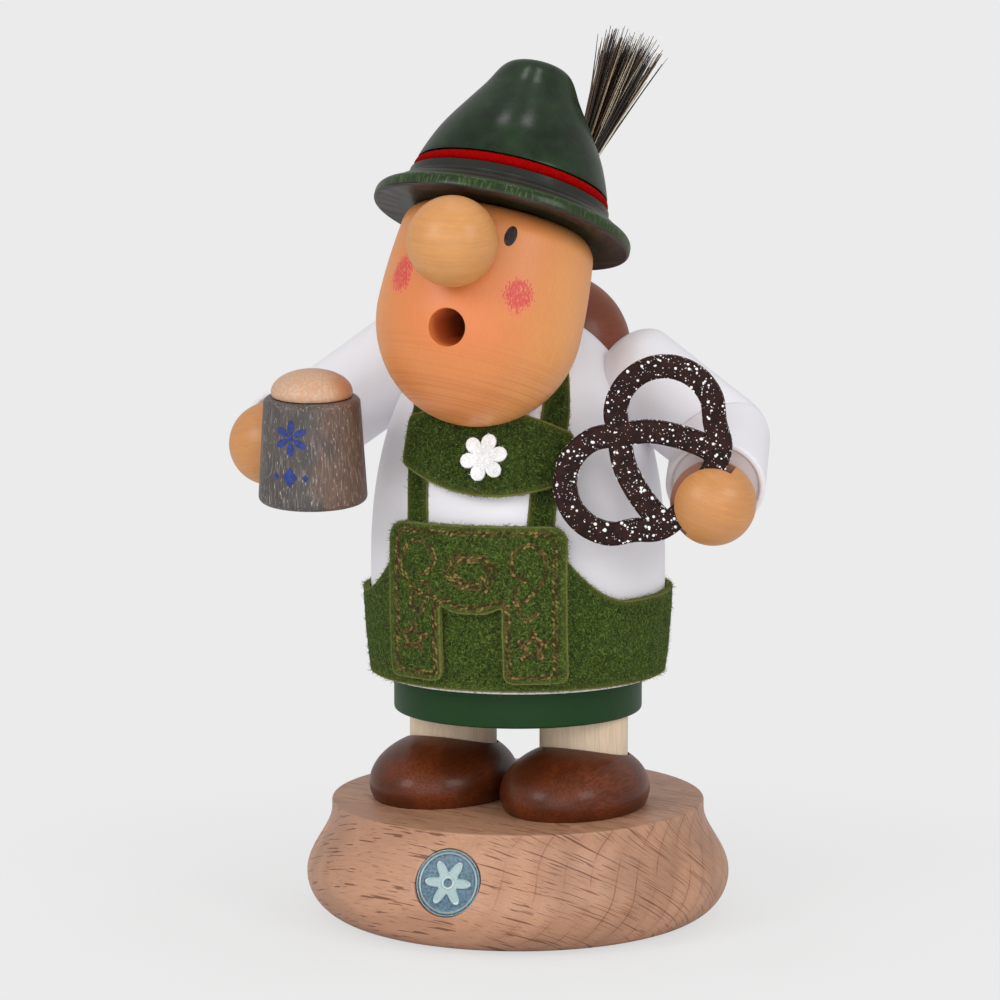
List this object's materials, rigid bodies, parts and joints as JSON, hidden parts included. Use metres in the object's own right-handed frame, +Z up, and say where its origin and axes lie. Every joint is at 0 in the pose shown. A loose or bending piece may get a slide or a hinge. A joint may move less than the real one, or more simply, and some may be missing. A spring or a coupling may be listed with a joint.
{
  "type": "incense smoker figure",
  "caption": "Turned wooden incense smoker: a stout man in felt trousers with hat, mug and pretzel, whose hollow body lifts off a base that holds an incense cone.",
  "frame": {"origin": "centre of the underside of the base", "axes": "+Z up, the figure faces -Y, its left hand is towards +X"},
  "size_m": [0.1004, 0.0925, 0.1668],
  "materials": {
    "beech": "oiled beech",
    "limewood": "bare limewood",
    "brown_stain": "brown stain under lacquer",
    "green_paint": "green lacquer",
    "white_paint": "white satin paint",
    "skin_lacquer": "clear lacquer over tinted wood",
    "hat_paint": "dark green lacquer",
    "pretzel_stain": "dark brown stain with white dots",
    "mug_stain": "grey brown stain",
    "green_felt": "wool felt",
    "white_felt": "wool felt",
    "red_cord": "twisted cord",
    "hair": "stiff natural hair",
    "badge_enamel": "dark enamel on metal",
    "plate_brass": "pressed sheet",
    "steel": "bright",
    "incense": "pressed powder"
  },
  "bodies": {
    "stand": {"base": "beech", "badge": "badge_enamel", "shoe_right": "brown_stain", "leg_right": "limewood", "shoe_left": "brown_stain", "leg_left": "limewood", "shorts": "green_paint", "ember_plate": "plate_brass", "plate_tack": "steel"},
    "incense_cone": {"incense_cone": "incense"},
    "figure": {"torso": "white_paint", "felt_trousers": "green_felt", "trouser_flap": "green_felt", "suspender_right": "green_felt", "suspender_left": "green_felt", "chest_bar": "green_felt", "flower": "white_felt", "neck_tube": "limewood", "rucksack": "brown_stain", "rucksack_dowel": "limewood", "upper_sleeve_left": "white_paint", "lower_sleeve_left": "white_paint", "shoulder_dowel_left": "limewood", "wrist_dowel_left": "limewood", "hand_left": "skin_lacquer", "upper_sleeve_right": "white_paint", "lower_sleeve_right": "white_paint", "shoulder_dowel_right": "limewood", "wrist_dowel_right": "limewood", "hand_right": "skin_lacquer", "pretzel": "pretzel_stain", "mug": "mug_stain", "mug_foam": "beech", "mug_dowel": "limewood", "head": "skin_lacquer", "nose": "skin_lacquer", "hat": "hat_paint", "hat_cord": "red_cord", "tuft_plug": "limewood", "hair_tuft": "hair"}
  },
  "joints": [
    {"name": "figure_lift", "type": "slide", "parent": "stand", "child": "figure", "axis": [0, 0, 1], "range_m": [0, 0.06]},
    {"name": "cone_lift", "type": "slide", "parent": "stand", "child": "incense_cone", "axis": [0, 0, 1], "range_m": [0, 0.015]}
  ]
}
